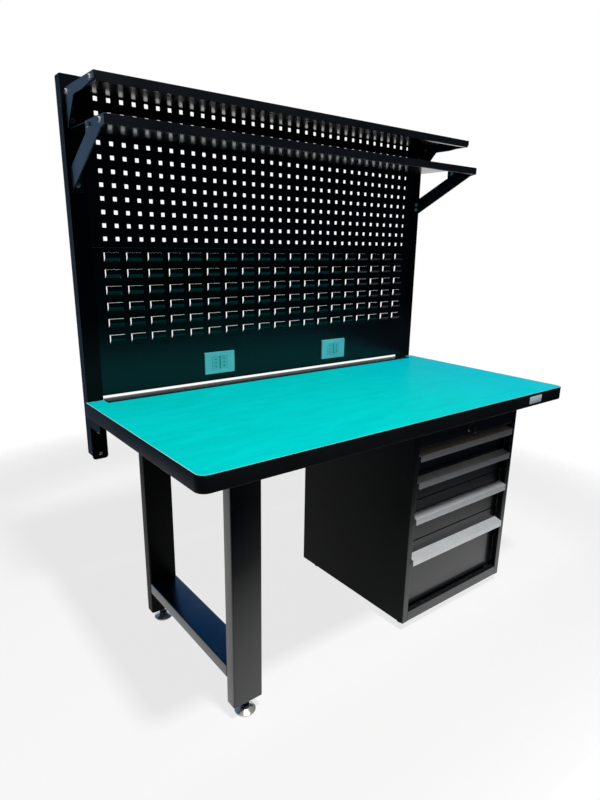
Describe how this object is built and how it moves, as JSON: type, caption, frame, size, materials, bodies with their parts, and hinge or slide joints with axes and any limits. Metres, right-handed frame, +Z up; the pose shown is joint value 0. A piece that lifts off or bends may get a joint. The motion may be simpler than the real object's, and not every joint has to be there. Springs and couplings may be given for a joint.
{
  "type": "workbench with drawer cabinet and tool panel",
  "caption": "Steel workbench: laminated worktop on a leg frame and a lockable drawer cabinet, with a perforated, louvred and socketed back panel and shelves above.",
  "frame": {"origin": "on the floor, under the middle of the whole bench's bounding box", "axes": "+X to the right of a person at the bench, +Y from front to back, +Z up"},
  "size_m": [1.5, 0.79, 1.734],
  "materials": {
    "worktop_core": "raw board",
    "worktop_laminate": "smooth satin laminate",
    "edge_band": "satin",
    "black_coat": "satin powder coat",
    "foot_metal": "bright plate",
    "glide_plastic": "moulded",
    "zinc": "bright zinc plate",
    "handle_aluminium": "satin anodised",
    "lock_chrome": "bright",
    "socket_cover": "moulded",
    "socket_insert": "moulded",
    "socket_back_box": "moulded"
  },
  "bodies": {
    "bench": {"worktop_core": "worktop_core", "worktop_laminate": "worktop_laminate", "worktop_edge_band": "edge_band", "front_leg": "black_coat", "rear_leg": "black_coat", "leg_stretcher": "black_coat", "leg_top_plate": "black_coat", "cabinet_left_side": "black_coat", "cabinet_right_side": "black_coat", "cabinet_back": "black_coat", "cabinet_top": "black_coat", "cabinet_base": "black_coat", "lock_header": "black_coat", "left_upright": "black_coat", "right_upright": "black_coat", "pegboard_panel": "black_coat", "louvre_panel": "black_coat", "socket_panel": "black_coat", "rear_rail": "black_coat", "upper_shelf": "black_coat", "lower_shelf": "black_coat", "upper_shelf_brackets": "black_coat", "lower_shelf_brackets": "black_coat", "bench_brackets": "black_coat", "cabinet_glides": "glide_plastic", "slide_posts": "zinc", "outer_slides": "zinc", "shelf_bolts": "zinc", "panel_bolts": "zinc", "worktop_screws": "zinc", "lock_body": "lock_chrome", "socket_plates": "socket_cover", "socket_modules": "socket_insert", "socket_boxes": "socket_back_box"},
    "drawer_1": {"drawer_1_box": "black_coat", "drawer_1_handle": "handle_aluminium", "drawer_1_inner_slides": "zinc"},
    "drawer_1_mids": {"drawer_1_mid_slides": "zinc"},
    "drawer_2": {"drawer_2_box": "black_coat", "drawer_2_handle": "handle_aluminium", "drawer_2_inner_slides": "zinc"},
    "drawer_2_mids": {"drawer_2_mid_slides": "zinc"},
    "drawer_3": {"drawer_3_box": "black_coat", "drawer_3_handle": "handle_aluminium", "drawer_3_inner_slides": "zinc"},
    "drawer_3_mids": {"drawer_3_mid_slides": "zinc"},
    "drawer_4": {"drawer_4_box": "black_coat", "drawer_4_handle": "handle_aluminium", "drawer_4_inner_slides": "zinc"},
    "drawer_4_mids": {"drawer_4_mid_slides": "zinc"},
    "lock": {"lock_plug": "lock_chrome", "lock_key": "lock_chrome", "lock_cam": "zinc"},
    "lock_bar": {"lock_bar": "zinc"},
    "front_foot": {"front_foot_pad": "foot_metal", "front_foot_stud": "foot_metal"},
    "rear_foot": {"rear_foot_pad": "foot_metal", "rear_foot_stud": "foot_metal"}
  },
  "joints": [
    {"name": "drawer_1_slide", "type": "slide", "parent": "bench", "child": "drawer_1", "axis": [0, -1, 0], "range_m": [0, 0.45]},
    {"name": "drawer_1_mid_slide", "type": "slide", "parent": "bench", "child": "drawer_1_mids", "axis": [0, -1, 0], "range_m": [0, 0.225]},
    {"name": "drawer_2_slide", "type": "slide", "parent": "bench", "child": "drawer_2", "axis": [0, -1, 0], "range_m": [0, 0.45]},
    {"name": "drawer_2_mid_slide", "type": "slide", "parent": "bench", "child": "drawer_2_mids", "axis": [0, -1, 0], "range_m": [0, 0.225]},
    {"name": "drawer_3_slide", "type": "slide", "parent": "bench", "child": "drawer_3", "axis": [0, -1, 0], "range_m": [0, 0.45]},
    {"name": "drawer_3_mid_slide", "type": "slide", "parent": "bench", "child": "drawer_3_mids", "axis": [0, -1, 0], "range_m": [0, 0.225]},
    {"name": "drawer_4_slide", "type": "slide", "parent": "bench", "child": "drawer_4", "axis": [0, -1, 0], "range_m": [0, 0.45]},
    {"name": "drawer_4_mid_slide", "type": "slide", "parent": "bench", "child": "drawer_4_mids", "axis": [0, -1, 0], "range_m": [0, 0.225]},
    {"name": "lock_turn", "type": "hinge", "parent": "bench", "child": "lock", "pos_m": [0.347, -0.293, 0.696], "axis": [0, 1, 0], "range_deg": [0, 90]},
    {"name": "lock_bar_lift", "type": "slide", "parent": "bench", "child": "lock_bar", "axis": [0, 0, 1], "range_m": [0, 0.01]},
    {"name": "front_foot_turn", "type": "hinge", "parent": "bench", "child": "front_foot", "pos_m": [-0.5615, -0.265, 0], "axis": [0, 0, 1], "continuous": true},
    {"name": "rear_foot_turn", "type": "hinge", "parent": "bench", "child": "rear_foot", "pos_m": [-0.5615, 0.282, 0], "axis": [0, 0, 1], "continuous": true}
  ],
  "couplings": [
    {"joint": "drawer_1_mid_slide", "follows": "drawer_1_slide", "ratio": 0.5},
    {"joint": "drawer_2_mid_slide", "follows": "drawer_2_slide", "ratio": 0.5},
    {"joint": "drawer_3_mid_slide", "follows": "drawer_3_slide", "ratio": 0.5},
    {"joint": "drawer_4_mid_slide", "follows": "drawer_4_slide", "ratio": 0.5},
    {"joint": "lock_bar_lift", "follows": "lock_turn", "m_per_rad": 0.0063661}
  ]
}
